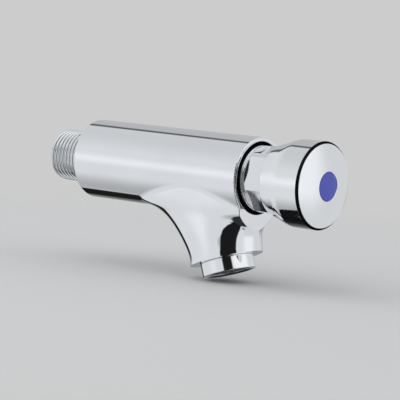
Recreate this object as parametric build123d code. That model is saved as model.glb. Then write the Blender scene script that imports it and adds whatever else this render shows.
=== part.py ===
from build123d import *
import math
import os

# Push timed tap for a wall: a short tube body with a swept spout, a push button on its front end, and a
# spring-loaded timing cartridge inside. The origin is the centre of the body's wall face on the tap's axis.
# +X runs out of the wall along that axis, +Z is up, and the outlet hangs below in the plane y = 0. Millimetres.

os.makedirs("parts", exist_ok=True)

# General clearances
overrun = 2.0
thread_gap = 0.05
seat_gap = 0.3
running_gap = 0.06
slip_gap = 0.1

# Body tube
body_radius = 16.1
body_length = 84.7
body_edge = 0.5
chamber_radius = 13.0
chamber_start = 14.0
waterway_radius = 7.5
mouth_recess_wall_share = 0.42
mouth_recess_radius = chamber_radius + mouth_recess_wall_share * (body_radius - chamber_radius)
mouth_recess_depth = 2.2
mouth_edge_wall_share = 0.45
mouth_edge = min(body_edge, mouth_edge_wall_share * (body_radius - mouth_recess_radius))

# Outlet rim, a tilted circle below the body
outlet_setback = 13.85
outlet_x = body_length - outlet_setback
outlet_drop = 33.6
outlet_radius = 14.7
outlet_tilt = 20.0
outlet_bore_radius = 7.2
outlet_bore_length = 27.0

# Spout sections from inside the tube down to just above the rim: drop below the axis, how far the centre
# lies behind the rim's centre, half length along the tap, half width across it, and tilt in degrees
neck_top_drop = 14.5
neck_top_lead = 9.35
neck_top_half_length = 33.9
neck_top_half_width = 14.9
neck_waist_drop = 20.0
neck_waist_lead = 5.85
neck_waist_half_length = 20.8
neck_waist_half_width = 14.9
neck_throat_drop = 24.5
neck_throat_lead = 3.4
neck_throat_half_length = 16.95
neck_throat_half_width = 14.9
neck_foot_drop = 29.3
neck_foot_lead = 1.0
neck_foot_half_length = 14.85
neck_foot_half_width = 14.8
neck_root_drop = 4.0
neck_root_lead = neck_top_lead + 1.5
neck_root_length_share = 0.97
neck_root_half_length = neck_root_length_share * neck_top_half_length
neck_root_width_share = 1.02
neck_root_half_width = neck_root_width_share * neck_top_half_width
waist_tilt_share = 0.1
throat_tilt_share = 0.4
foot_tilt_share = 0.8
neck_blend = 5.0

# Inlet nipple, G 1/2 outside
inlet_thread_radius = 10.4775
inlet_thread_length = 19.0
inlet_thread_chamfer = 1.1
nipple_collar_stand = 0.75
nipple_collar_length = 1.5
nipple_collar_radius = inlet_thread_radius + nipple_collar_stand
nipple_tail_radius = 9.4
nipple_tail_length = 9.0
nipple_seat_radius = 8.3
nipple_seat_start = 0.5
nipple_seal_length = 1.5
nipple_seal_inner_radius = 7.7

# Inlet strainer, a perforated cup in the nipple
strainer_front = -1.2
strainer_length = 4.0
strainer_wall = 1.0
strainer_hole_radius = 0.7
strainer_ring_radii_shares = (0.0, 0.36, 0.7)
strainer_ring_counts = (1, 6, 12)

# Flow regulator in the nipple's inner seat
regulator_front = 4.6
regulator_length = 3.6
regulator_hole_radius = 1.1
regulator_hole_count = 6
regulator_hole_ring_share = 0.55
small_ring_wire = 0.7

# Round seals on the chamber's bore
chamber_ring_wire = 0.95
chamber_groove_width = 2.2

# Cartridge sleeve
sleeve_land_length = 6.4
sleeve_waist_depth = 2.1
sleeve_waist_radius = chamber_radius - sleeve_waist_depth
sleeve_front = 62.0
sleeve_front_land_length = 6.5
sleeve_inlet_bore_radius = 8.6
seat_plate_start = 20.0
seat_plate_length = 3.0
seat_lip_height = 0.6
seat_lip_width = 1.0
seat_hole_radius = 4.5
outlet_gallery_radius = 7.5
outlet_gallery_length = 9.0
port_radius = 2.6
port_count = 4
partition_length = 2.4
partition_hole_radius = 3.2
timing_bore_wall = 3.5
timing_bore_radius = chamber_radius - timing_bore_wall

# Bonnet nut with its hexagon
bonnet_thread_radius = chamber_radius - slip_gap
bonnet_rear_recess_length = 8.0
hex_stand = 1.9
hex_start = body_length + hex_stand
hex_length = 10.9
hex_across_flats = 24.0
hex_corner_stand = 1.3
hex_corner_radius = hex_across_flats / 2 + hex_corner_stand
hex_corner_bevel = 0.8
hex_turn = 16.5
bush_radius = 6.9
bonnet_boss_wall = 2.5
bonnet_boss_radius = bush_radius + bonnet_boss_wall
bonnet_boss_length = 2.4
bush_length = 10.2
circlip_length = 1.0
circlip_depth = 0.7
circlip_width = 2.0
circlip_gap_angle = 50.0

# Plunger stem, from the washer nut at the rear to the button at the front
stem_radius = 4.0
stem_rod_radius = 2.5
stem_piston_radius = 3.0
stem_tail_radius = 2.0
stem_journal_radius = 3.3
piston_front = 55.4
piston_length = 5.6
piston_play = 0.4
piston_radius = timing_bore_radius - piston_play
piston_groove_width = 2.6
piston_groove_depth = 1.6
lip_seal_wall = 0.7
needle_offset = (piston_radius + stem_piston_radius) / 2
needle_radius = 0.7
needle_head_radius = 1.1
needle_head_length = 0.9
washer_thickness = 2.1
washer_radius = 6.5
holder_length = 1.4
holder_rim_thickness = 0.45
holder_rim_length = 1.2
washer_nut_length = 1.7
washer_nut_across = 5.5
stem_tail_overhang = 0.4

# Return spring
spring_wire_radius = 0.6
spring_mean_radius = (timing_bore_radius + stem_rod_radius) / 2
spring_turns = 4.5

# Push button, which covers the hexagon and travels towards the body
plunger_stroke = 6.5
stop_gap = 0.8
button_stand = 4.2
button_rear = body_length + plunger_stroke + button_stand
button_bore_radius = hex_corner_radius + seat_gap
button_lip = 0.55
button_mouth_radius = button_bore_radius + button_lip
button_wall = 3.55
button_radius = button_bore_radius + button_wall
button_shoulder_length = 6.2
button_face_inset = 0.45
button_face_radius = button_radius - button_face_inset
button_face_wall = 2.8
button_edge_length = 0.8
button_dome = 2.3
button_boss_radius = 7.0
button_boss_length = 5.8
shoulder_middle_x_share = 0.48
shoulder_middle_r_share = 0.52
shoulder_start_slope_share = 0.3
edge_bulge_share = 0.72
journal_length = 4.5
journal_play = 0.2
screw_pocket_radius = 5.4
screw_head_radius = 4.9
screw_head_length = 2.2
screw_shank_radius = 1.95
screw_shank_length = 8.0
insert_radius = 5.95
insert_length = 2.9

# Aerator on the outlet, in its own frame: radius from the jet's axis, height out of the rim
aerator_radius = 10.7
aerator_height = 5.6
aerator_thread_radius = 9.95
aerator_thread_length = 6.5
aerator_bore_radius = 8.7
aerator_lip_radius = 8.1
aerator_lip_length = 1.1
aerator_edge = 0.35
aerator_washer_length = 1.5
aerator_washer_inner_radius = 7.6
jet_plate_length = 2.0
jet_plate_ledge_radius = 7.9
jet_plate_ledge_length = 3.0
jet_hole_radius = 0.8
jet_hole_count = 12
jet_hole_ring_share = 0.72
mesh_length = 1.2
mesh_pitch = 2.3
mesh_bar = 0.6


def turned(*outline):
    """Solid turned about the tap's axis from (distance from the wall, radius) corners."""
    return revolve(Polygon(*outline, align=None), Axis.X)


def rod(start, length, radius):
    """Cylinder on the tap's axis."""
    return Plane.YZ.offset(start) * Cylinder(radius, length, align=(Align.CENTER, Align.CENTER, Align.MIN))


def ring(start, length, outer, inner):
    """Plain ring on the tap's axis."""
    return rod(start, length, outer) - rod(start - overrun, length + 2 * overrun, inner)


def round_seal(middle, wire, centre_radius):
    """Round-section seal on the tap's axis."""
    return Plane.YZ.offset(middle) * Torus(centre_radius, wire)


def outlet_frame(height=0.0):
    """Plane on the jet's axis, +Z out of the rim, raised out of the rim by height."""
    tilt = math.radians(outlet_tilt)
    out = (math.sin(tilt), 0, -math.cos(tilt))
    origin = (outlet_x + height * out[0], 0, -outlet_drop + height * out[2])
    return Plane(origin=origin, x_dir=(math.cos(tilt), 0, math.sin(tilt)), z_dir=out)


def outlet_rod(start, length, radius):
    """Cylinder on the jet's axis."""
    return outlet_frame(start) * Cylinder(radius, length, align=(Align.CENTER, Align.CENTER, Align.MIN))


def outlet_ring(start, length, outer, inner):
    """Plain ring on the jet's axis."""
    return outlet_rod(start, length, outer) - outlet_rod(start - overrun, length + 2 * overrun, inner)


def neck_section(drop, lead, half_length, half_width, tilt_share):
    """Elliptical section across the spout."""
    lean = math.radians(tilt_share * outlet_tilt)
    plane = Plane(origin=(outlet_x - lead, 0, -drop), x_dir=(math.cos(lean), 0, math.sin(lean)),
                  z_dir=(-math.sin(lean), 0, math.cos(lean)))
    return plane * Ellipse(half_length, half_width)


def neck():
    """Spout: a loft from a long ellipse inside the tube to the round, tilted rim."""
    sections = [
        neck_section(neck_root_drop, neck_root_lead, neck_root_half_length, neck_root_half_width, 0),
        neck_section(neck_top_drop, neck_top_lead, neck_top_half_length, neck_top_half_width, 0),
        neck_section(neck_waist_drop, neck_waist_lead, neck_waist_half_length, neck_waist_half_width,
                     waist_tilt_share),
        neck_section(neck_throat_drop, neck_throat_lead, neck_throat_half_length, neck_throat_half_width,
                     throat_tilt_share),
        neck_section(neck_foot_drop, neck_foot_lead, neck_foot_half_length, neck_foot_half_width,
                     foot_tilt_share),
        neck_section(outlet_drop, 0, outlet_radius, outlet_radius, 1),
    ]
    return loft(sections)


def body_shell():
    """Outside of the body: the tube and the spout, blended, then faced flat and eased across the front."""
    long_tube = rod(0, body_length + neck_root_half_length, body_radius)
    joined = long_tube + neck()
    junction = [edge for edge in joined.edges()
                if edge.geom_type == GeomType.BSPLINE
                and edge.bounding_box().size.Y > body_radius
                and edge.bounding_box().min.Z > -neck_waist_drop]
    blended = fillet(junction, neck_blend)
    facing = rod(body_length, body_length, outlet_drop + outlet_radius)
    faced = blended - facing
    outline = [edge for edge in faced.edges() if edge.bounding_box().min.X > body_length - body_edge]
    return fillet(outline, mouth_edge)


def eased_ends(shell):
    """Break the sharp edges of the wall end and of the mouth's recess."""
    circles = shell.edges().filter_by(GeomType.CIRCLE)
    wall_end = [edge for edge in circles
                if edge.bounding_box().max.X < body_edge and edge.radius > body_radius - body_edge]
    mouth_end = [edge for edge in circles
                 if edge.bounding_box().min.X > body_length - body_edge
                 and abs(edge.radius - mouth_recess_radius) < mouth_edge]
    return fillet(mouth_end, mouth_edge).fillet(body_edge, wall_end)


def tap_body():
    """Body casting with its inlet socket, cartridge chamber, mouth recess and outlet passage."""
    shell = body_shell()
    socket_length = nipple_tail_length + nipple_seal_length
    shell -= rod(-overrun, overrun + socket_length, nipple_tail_radius + thread_gap)
    shell -= rod(-overrun, overrun + nipple_collar_length, nipple_collar_radius + thread_gap)
    shell -= rod(0, chamber_start + overrun, waterway_radius)
    shell -= rod(chamber_start, body_length, chamber_radius)
    shell -= rod(body_length - mouth_recess_depth, body_length, mouth_recess_radius)
    shell -= outlet_rod(-outlet_bore_length, outlet_bore_length, outlet_bore_radius)
    socket = aerator_thread_length + aerator_washer_length
    shell -= outlet_rod(-socket, socket + overrun, aerator_thread_radius + thread_gap)
    return eased_ends(shell)


def inlet_nipple():
    """Threaded inlet with a collar flush with the wall face and a seat for the flow regulator."""
    end = -inlet_thread_length
    return turned((end, waterway_radius), (end, inlet_thread_radius - inlet_thread_chamfer),
                  (end + inlet_thread_chamfer, inlet_thread_radius), (0, inlet_thread_radius),
                  (0, nipple_collar_radius), (nipple_collar_length, nipple_collar_radius),
                  (nipple_collar_length, nipple_tail_radius), (nipple_tail_length, nipple_tail_radius),
                  (nipple_tail_length, nipple_seat_radius), (nipple_seat_start, nipple_seat_radius),
                  (nipple_seat_start, waterway_radius))


def nipple_seal():
    """Flat seal between the nipple's tail and the shoulder in the body."""
    return ring(nipple_tail_length, nipple_seal_length, nipple_tail_radius, nipple_seal_inner_radius)


def hole_ring(plane, ring_radius, hole_radius, length, count):
    """Ring of round cutters along a plane's normal, both ways from it."""
    spots = [Location((0, 0, 0))] if count == 1 else PolarLocations(ring_radius, count)
    cutter = Cylinder(hole_radius, 2 * length)
    return [plane * place * cutter for place in spots]


def inlet_strainer():
    """Perforated cup that keeps grit out of the cartridge."""
    outer = waterway_radius - slip_gap
    start = strainer_front - strainer_length
    inner = outer - strainer_wall
    cup = turned((start, 0), (start, outer), (strainer_front, outer), (strainer_front, inner),
                 (start + strainer_wall, inner), (start + strainer_wall, 0))
    for share, count in zip(strainer_ring_radii_shares, strainer_ring_counts):
        cup -= hole_ring(Plane.YZ.offset(start), share * outer, strainer_hole_radius, strainer_length, count)
    return cup


def flow_regulator():
    """Disc with six jets and a seal groove, in the nipple's inner seat."""
    outer = nipple_seat_radius - slip_gap
    start = regulator_front - regulator_length
    disc = rod(start, regulator_length, outer)
    groove_inner = nipple_seat_radius - 2 * small_ring_wire - slip_gap
    middle = start + regulator_length / 2
    disc -= ring(middle - small_ring_wire - thread_gap, 2 * (small_ring_wire + thread_gap),
                 outer + overrun, groove_inner)
    disc -= hole_ring(Plane.YZ.offset(middle), regulator_hole_ring_share * outer, regulator_hole_radius,
                      regulator_length, regulator_hole_count)
    return disc


def flow_regulator_o_ring():
    """Seal round the flow regulator."""
    middle = regulator_front - regulator_length / 2
    return round_seal(middle, small_ring_wire, nipple_seat_radius - small_ring_wire - thread_gap)


def chamber_groove(middle):
    """Cutter for a seal groove in a piece that fills the chamber's bore."""
    depth = chamber_radius - 2 * chamber_ring_wire - 2 * thread_gap
    return ring(middle - chamber_groove_width / 2, chamber_groove_width, chamber_radius + overrun, depth)


def chamber_seal(middle):
    """Round seal against the chamber's bore."""
    return round_seal(middle, chamber_ring_wire, chamber_radius - chamber_ring_wire - thread_gap)


sleeve_rear_seal_x = chamber_start + sleeve_land_length / 2
sleeve_front_seal_x = sleeve_front - sleeve_front_land_length / 2
bonnet_seal_x = sleeve_front + bonnet_rear_recess_length / 2
seat_face_x = seat_plate_start - seat_lip_height
gallery_start = seat_plate_start + seat_plate_length
partition_start = gallery_start + outlet_gallery_length
spring_seat_x = partition_start + partition_length
hex_front = hex_start + hex_length
boss_front = hex_front + bonnet_boss_length
button_boss_rear = boss_front + plunger_stroke + stop_gap
button_floor = button_boss_rear + button_boss_length
button_front_edge = button_floor + button_face_wall
screw_pocket_start = button_boss_rear + journal_length
stem_shoulder = button_boss_rear - running_gap
stem_front = screw_pocket_start + journal_play
bush_front = boss_front - circlip_length - 2 * thread_gap - circlip_depth
bush_start = bush_front - bush_length
piston_rear = piston_front - piston_length
washer_front = seat_face_x - seat_gap
washer_rear = washer_front - washer_thickness
holder_rear = washer_rear - holder_length
nut_rear = holder_rear - washer_nut_length


def cartridge_sleeve():
    """Cartridge sleeve: two sealed lands, a slim waist, the valve seat, the ports and the timing bore."""
    land_radius = chamber_radius - slip_gap
    rear_land_end = chamber_start + sleeve_land_length
    front_land_start = sleeve_front - sleeve_front_land_length
    sleeve = turned((chamber_start, sleeve_inlet_bore_radius), (chamber_start, land_radius),
                    (rear_land_end, land_radius), (rear_land_end, sleeve_waist_radius),
                    (front_land_start, sleeve_waist_radius), (front_land_start, land_radius),
                    (sleeve_front, land_radius), (sleeve_front, timing_bore_radius),
                    (spring_seat_x, timing_bore_radius), (spring_seat_x, partition_hole_radius),
                    (partition_start, partition_hole_radius), (partition_start, outlet_gallery_radius),
                    (gallery_start, outlet_gallery_radius), (gallery_start, seat_hole_radius),
                    (seat_face_x, seat_hole_radius), (seat_face_x, seat_hole_radius + seat_lip_width),
                    (seat_plate_start, seat_hole_radius + seat_lip_width),
                    (seat_plate_start, sleeve_inlet_bore_radius))
    sleeve -= chamber_groove(sleeve_rear_seal_x)
    sleeve -= chamber_groove(sleeve_front_seal_x)
    middle = (gallery_start + partition_start) / 2
    for turn in range(port_count):
        angle = 360 * (turn + 0.5) / port_count
        port = Location((middle, 0, 0), (angle, 0, 0)) * Cylinder(
            port_radius, chamber_radius, align=(Align.CENTER, Align.CENTER, Align.MIN))
        sleeve -= port
    return sleeve


def bonnet_nut():
    """Threaded nut that closes the chamber, with a hexagon for the spanner and a boss for the stem bush."""
    thread_part = rod(sleeve_front, hex_start - sleeve_front, bonnet_thread_radius)
    blank = RegularPolygon(hex_across_flats / 2, 6, major_radius=False, rotation=hex_turn)
    hexagon = Plane.YZ.offset(hex_start) * extrude(blank, hex_length)
    bevelled = turned((hex_start, 0), (hex_start, hex_corner_radius - hex_corner_bevel),
                      (hex_start + hex_corner_bevel, hex_corner_radius), (hex_front, hex_corner_radius),
                      (hex_front, 0))
    nut = thread_part + (hexagon & bevelled) + rod(hex_front, bonnet_boss_length, bonnet_boss_radius)
    nut -= chamber_groove(bonnet_seal_x)
    nut -= rod(sleeve_front - overrun, bonnet_rear_recess_length + overrun, timing_bore_radius)
    nut -= rod(sleeve_front, boss_front - sleeve_front + overrun, stem_radius + seat_gap)
    seal_pocket_radius = stem_radius + 2 * chamber_ring_wire + slip_gap
    nut -= rod(bush_start - chamber_groove_width, chamber_groove_width + overrun, seal_pocket_radius)
    nut -= rod(bush_start, boss_front - bush_start + overrun, bush_radius + thread_gap)
    nut -= rod(bush_front + thread_gap, circlip_length + 2 * thread_gap,
               bush_radius + circlip_depth + thread_gap)
    return nut


def stem_guide_bush():
    """Plain bush that guides the stem through the bonnet."""
    return ring(bush_start, bush_length, bush_radius, stem_radius + running_gap)


def stem_o_ring():
    """Seal round the stem, in the pocket behind the bush."""
    middle = bush_start - chamber_groove_width / 2
    return round_seal(middle, chamber_ring_wire, stem_radius + chamber_ring_wire + thread_gap)


def bush_circlip():
    """Open spring ring that keeps the bush in the bonnet."""
    outer = bush_radius + circlip_depth
    clip = ring(bush_front + 2 * thread_gap, circlip_length, outer, outer - circlip_width)
    half = math.radians(circlip_gap_angle / 2)
    reach = 2 * outer
    wedge = Polygon((0, 0), (-reach * math.sin(half), reach * math.cos(half)),
                    (reach * math.sin(half), reach * math.cos(half)), align=None)
    return clip - Plane.YZ.offset(bush_start) * extrude(wedge, bush_length + 2 * overrun)


def plunger_stem():
    """Stem that carries the valve washer at its rear, the piston and, at its front, the button."""
    stem = turned((nut_rear - stem_tail_overhang, 0), (nut_rear - stem_tail_overhang, stem_tail_radius),
                  (washer_front, stem_tail_radius), (washer_front, stem_rod_radius),
                  (piston_rear, stem_rod_radius), (piston_rear, stem_piston_radius),
                  (piston_front, stem_piston_radius), (piston_front, stem_radius),
                  (stem_shoulder, stem_radius), (stem_shoulder, stem_journal_radius),
                  (stem_front, stem_journal_radius), (stem_front, 0))
    hole_length = screw_shank_length + seat_gap
    return stem - rod(stem_front - hole_length, hole_length + overrun, screw_shank_radius + thread_gap)


def needle_place(x):
    """Plane of the timing needle, square to the tap's axis."""
    return Plane.YZ.offset(x) * Pos(0, needle_offset)


def timing_piston():
    """Piston with a groove for the lip seal and a drilling for the timing needle."""
    piston = ring(piston_rear, piston_length, piston_radius, stem_piston_radius + thread_gap)
    groove_start = piston_rear + (piston_length - piston_groove_width) / 2
    piston -= ring(groove_start, piston_groove_width, piston_radius + overrun, piston_radius - piston_groove_depth)
    piston -= needle_place(piston_rear + piston_length / 2) * Cylinder(needle_radius + slip_gap, 2 * piston_length)
    piston -= needle_place(piston_front) * Cylinder(needle_head_radius + slip_gap, 2 * needle_head_length)
    return piston


def piston_lip_seal():
    """Cup seal whose lip faces the timing chamber, so water passes it only on the way in."""
    inner = piston_radius - piston_groove_depth + thread_gap
    outer = timing_bore_radius - slip_gap
    rear = piston_rear + (piston_length - piston_groove_width) / 2 + thread_gap
    front = rear + piston_groove_width - 2 * thread_gap
    return turned((rear, inner), (rear, outer - thread_gap), (front, outer), (front, outer - lip_seal_wall),
                  (rear + lip_seal_wall, outer - lip_seal_wall), (rear + lip_seal_wall, inner))


def timing_needle():
    """Tapered needle that sets how slowly the chamber empties."""
    tip = piston_rear + seat_gap
    outline = Polygon((tip, 0), (tip, needle_radius / 2), (piston_front - needle_head_length, needle_radius),
                      (piston_front - needle_head_length, needle_head_radius), (piston_front, needle_head_radius),
                      (piston_front, 0), align=None)
    return Pos(0, 0, needle_offset) * revolve(outline, Axis.X)


def valve_washer():
    """Rubber washer that closes on the seat from the supply side."""
    return ring(washer_rear, washer_thickness, washer_radius, stem_tail_radius + thread_gap)


def washer_holder():
    """Shallow cup that backs the valve washer."""
    bore = stem_tail_radius + thread_gap
    rim_inner = washer_radius + thread_gap
    rim_outer = rim_inner + holder_rim_thickness
    return turned((holder_rear, bore), (holder_rear, rim_outer), (washer_rear + holder_rim_length, rim_outer),
                  (washer_rear + holder_rim_length, rim_inner), (washer_rear, rim_inner), (washer_rear, bore))


def washer_nut():
    """Small nut that clamps the washer holder to the stem."""
    blank = RegularPolygon(washer_nut_across / 2, 6, major_radius=False)
    nut = Plane.YZ.offset(nut_rear) * extrude(blank, washer_nut_length)
    return nut - rod(nut_rear - overrun, washer_nut_length + 2 * overrun, stem_tail_radius + thread_gap)


def coil_point(angle, start, pitch):
    """Point and direction of the coil's centre line at an angle in radians."""
    point = Vector(start + pitch * angle / (2 * math.pi), spring_mean_radius * math.sin(angle),
                   spring_mean_radius * math.cos(angle))
    way = Vector(pitch / (2 * math.pi), spring_mean_radius * math.cos(angle),
                 -spring_mean_radius * math.sin(angle))
    return point, way.normalized()


def biarc(first, first_way, last, last_way):
    """Two tangent arcs between two points with given directions."""
    span = last - first
    ways = first_way + last_way
    a = ways.dot(ways) - 4
    b = -2 * span.dot(ways)
    c = span.dot(span)
    reach = (-b - math.sqrt(b * b - 4 * a * c)) / (2 * a)
    inner = first + first_way * reach
    outer = last - last_way * reach
    middle = (inner + outer) * 0.5
    return [TangentArc(first, middle, tangent=first_way),
            TangentArc(middle, last, tangent=(outer - inner).normalized())]


def return_spring():
    """Return spring between the sleeve's partition and the piston: one unbroken wire."""
    start = spring_seat_x + seat_gap + spring_wire_radius
    end = piston_rear - seat_gap - spring_wire_radius
    pitch = (end - start) / spring_turns
    quarters = round(spring_turns * 4)
    arcs = []
    for step in range(quarters):
        first, first_way = coil_point(step * math.pi / 2, start, pitch)
        last, last_way = coil_point((step + 1) * math.pi / 2, start, pitch)
        arcs += biarc(first, first_way, last, last_way)
    path = Wire([arc.edge() for arc in arcs])
    point, way = coil_point(0, start, pitch)
    section = Plane(origin=point, z_dir=way) * Circle(spring_wire_radius)
    samples = [coil_point(math.radians(10 * k), start, pitch)[0] for k in range(int(36 * spring_turns) + 1)]
    gap = min((samples[i] - samples[j]).length for i in range(len(samples)) for j in range(i + 18, len(samples)))
    print("return spring: least gap to itself", round(gap - 2 * spring_wire_radius, 2), "mm")
    return sweep(section, path=path)


def push_button():
    """Bell-shaped button: an S-shaped shoulder, a straight skirt, a rounded edge and a domed face."""
    shoulder_end = button_rear + button_shoulder_length
    edge_start = button_front_edge - button_edge_length
    rise = button_radius - button_mouth_radius
    shoulder_middle = (button_rear + shoulder_middle_x_share * button_shoulder_length,
                       button_mouth_radius + shoulder_middle_r_share * rise)
    edge_middle = (edge_start + edge_bulge_share * button_edge_length,
                   button_face_radius + edge_bulge_share * (button_radius - button_face_radius))
    apex = (button_front_edge + button_dome, 0)
    dome_radius = (button_face_radius ** 2 + button_dome ** 2) / (2 * button_dome)
    half = math.asin(button_face_radius / dome_radius) / 2
    dome_middle = (apex[0] - dome_radius * (1 - math.cos(half)), dome_radius * math.sin(half))
    outline = [
        Line((button_rear, button_bore_radius), (button_rear, button_mouth_radius)),
        Spline((button_rear, button_mouth_radius), shoulder_middle, (shoulder_end, button_radius),
               tangents=[(1, shoulder_start_slope_share), (1, 0)]),
        Line((shoulder_end, button_radius), (edge_start, button_radius)),
        ThreePointArc((edge_start, button_radius), edge_middle, (button_front_edge, button_face_radius)),
        ThreePointArc((button_front_edge, button_face_radius), dome_middle, apex),
        Polyline(apex, (button_boss_rear, 0), (button_boss_rear, button_boss_radius),
                 (button_floor, button_boss_radius), (button_floor, button_bore_radius),
                 (button_rear, button_bore_radius)),
    ]
    button = revolve(make_face(Curve() + outline), Axis.X)
    button -= rod(button_boss_rear - overrun, 2 * overrun + journal_length, stem_journal_radius + running_gap)
    button -= rod(screw_pocket_start, button_front_edge - screw_pocket_start, screw_pocket_radius)
    insert_seat = apex[0] - insert_length
    return button - rod(insert_seat, insert_length + overrun, insert_radius + slip_gap)


def button_insert():
    """Round coloured insert in the middle of the button's face, over the screw."""
    front = button_front_edge + button_dome
    dome_radius = (button_face_radius ** 2 + button_dome ** 2) / (2 * button_dome)
    drop = dome_radius - math.sqrt(dome_radius ** 2 - insert_radius ** 2)
    half_drop = dome_radius - math.sqrt(dome_radius ** 2 - (insert_radius / 2) ** 2)
    seat = front - insert_length
    outline = [
        Polyline((front, 0), (seat, 0), (seat, insert_radius), (front - drop, insert_radius)),
        ThreePointArc((front - drop, insert_radius), (front - half_drop, insert_radius / 2), (front, 0)),
    ]
    return revolve(make_face(Curve() + outline), Axis.X)


def button_screw():
    """Screw in the stem's front end, whose head keeps the button on its journal."""
    return turned((stem_front - screw_shank_length, 0), (stem_front - screw_shank_length, screw_shank_radius),
                  (stem_front, screw_shank_radius), (stem_front, screw_head_radius),
                  (stem_front + screw_head_length, screw_head_radius), (stem_front + screw_head_length, 0))


def aerator_housing():
    """Aerator ring with its male thread, an inner ledge for the jet plate and a lip for the mesh."""
    top = -aerator_thread_length
    ledge = top + jet_plate_length + jet_plate_ledge_length
    lip = aerator_height - aerator_lip_length
    outline = Polygon((aerator_bore_radius, top), (aerator_thread_radius, top), (aerator_thread_radius, 0),
                      (aerator_radius, 0), (aerator_radius, aerator_height - aerator_edge),
                      (aerator_radius - aerator_edge, aerator_height), (aerator_lip_radius, aerator_height),
                      (aerator_lip_radius, lip), (aerator_bore_radius, lip), (aerator_bore_radius, ledge),
                      (jet_plate_ledge_radius, ledge), (jet_plate_ledge_radius, top + jet_plate_length),
                      (aerator_bore_radius, top + jet_plate_length), align=None)
    return outlet_frame() * revolve(Plane.XZ * outline, Axis.Z)


def aerator_washer():
    """Flat washer between the aerator and the bottom of its socket."""
    start = -aerator_thread_length - aerator_washer_length
    return outlet_ring(start, aerator_washer_length, aerator_thread_radius - slip_gap, aerator_washer_inner_radius)


def aerator_jet_plate():
    """Plate whose ring of holes turns the flow into jets."""
    start = -aerator_thread_length
    outer = aerator_bore_radius - slip_gap
    plate = outlet_rod(start, jet_plate_length, outer)
    plate -= hole_ring(outlet_frame(start), jet_hole_ring_share * outer, jet_hole_radius, jet_plate_length,
                       jet_hole_count)
    return plate


def aerator_mesh():
    """Square grid across the mouth of the aerator, resting on its lip."""
    start = aerator_height - aerator_lip_length - mesh_length
    outer = aerator_bore_radius - slip_gap
    disc = outlet_rod(start, mesh_length, outer)
    half_count = int(outer / mesh_pitch)
    window = mesh_pitch - mesh_bar
    limit = aerator_lip_radius - mesh_bar
    cutters = []
    for row in range(-half_count, half_count + 1):
        for column in range(-half_count, half_count + 1):
            across = abs(row) * mesh_pitch + window / 2
            along = abs(column) * mesh_pitch + window / 2
            if math.hypot(across, along) < limit:
                place = Pos(row * mesh_pitch, column * mesh_pitch)
                cutters.append(outlet_frame(start) * place * Box(window, window, 2 * mesh_length + overrun))
    return disc - cutters


def write(name, shape):
    """Write one sub-part as parts/NAME.step."""
    solids = shape.solids()
    export_step(solids[0] if len(solids) == 1 else Compound(children=solids), f"parts/{name}.step")


write("tap_body", tap_body())
write("inlet_nipple", inlet_nipple())
write("nipple_seal", nipple_seal())
write("inlet_strainer", inlet_strainer())
write("flow_regulator", flow_regulator())
write("flow_regulator_o_ring", flow_regulator_o_ring())
write("cartridge_sleeve", cartridge_sleeve())
write("sleeve_rear_o_ring", chamber_seal(sleeve_rear_seal_x))
write("sleeve_front_o_ring", chamber_seal(sleeve_front_seal_x))
write("bonnet_nut", bonnet_nut())
write("bonnet_o_ring", chamber_seal(bonnet_seal_x))
write("stem_guide_bush", stem_guide_bush())
write("stem_o_ring", stem_o_ring())
write("bush_circlip", bush_circlip())
write("return_spring", return_spring())
write("plunger_stem", plunger_stem())
write("timing_piston", timing_piston())
write("piston_lip_seal", piston_lip_seal())
write("timing_needle", timing_needle())
write("valve_washer", valve_washer())
write("washer_holder", washer_holder())
write("washer_nut", washer_nut())
write("push_button", push_button())
write("button_insert", button_insert())
write("button_screw", button_screw())
write("aerator_housing", aerator_housing())
write("aerator_washer", aerator_washer())
write("aerator_jet_plate", aerator_jet_plate())
write("aerator_mesh", aerator_mesh())
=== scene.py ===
"""Push timed tap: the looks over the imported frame.

Sizes are in millimetres, apart from the patterns of a finish: their scales are per metre and their
heights in metres. Meshes are made in metres. The tap's axis is X, out of the wall, Z is up, and the jet
leaves the outlet along a tilted axis in the plane y = 0.
"""

import logging
import math
from dataclasses import dataclass
from enum import Enum
from typing import Dict, List, Optional, Sequence, Tuple, Union

import bmesh
import bpy
from mathutils import Matrix, Vector


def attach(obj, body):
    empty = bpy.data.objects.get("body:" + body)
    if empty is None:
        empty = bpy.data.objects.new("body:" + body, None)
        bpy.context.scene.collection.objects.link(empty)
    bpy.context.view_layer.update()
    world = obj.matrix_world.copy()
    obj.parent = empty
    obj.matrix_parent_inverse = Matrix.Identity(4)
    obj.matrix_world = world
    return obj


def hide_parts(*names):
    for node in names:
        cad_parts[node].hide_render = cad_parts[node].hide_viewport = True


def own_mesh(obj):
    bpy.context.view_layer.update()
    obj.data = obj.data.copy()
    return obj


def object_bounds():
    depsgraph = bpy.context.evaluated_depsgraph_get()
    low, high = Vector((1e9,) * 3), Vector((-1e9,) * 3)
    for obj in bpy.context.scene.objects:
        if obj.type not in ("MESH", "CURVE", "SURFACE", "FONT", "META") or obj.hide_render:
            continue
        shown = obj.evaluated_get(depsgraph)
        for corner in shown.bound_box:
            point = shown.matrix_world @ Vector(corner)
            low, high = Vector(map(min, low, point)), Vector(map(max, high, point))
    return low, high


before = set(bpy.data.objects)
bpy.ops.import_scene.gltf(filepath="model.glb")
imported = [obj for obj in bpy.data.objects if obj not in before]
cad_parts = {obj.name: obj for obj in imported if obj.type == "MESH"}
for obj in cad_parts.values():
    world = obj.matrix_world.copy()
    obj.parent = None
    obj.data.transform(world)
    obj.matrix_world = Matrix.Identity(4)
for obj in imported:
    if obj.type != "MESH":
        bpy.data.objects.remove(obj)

MM = 0.001
FULL_TURN = 2 * math.pi
CAD_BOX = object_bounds()
LOG = logging.getLogger("tap")

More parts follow.
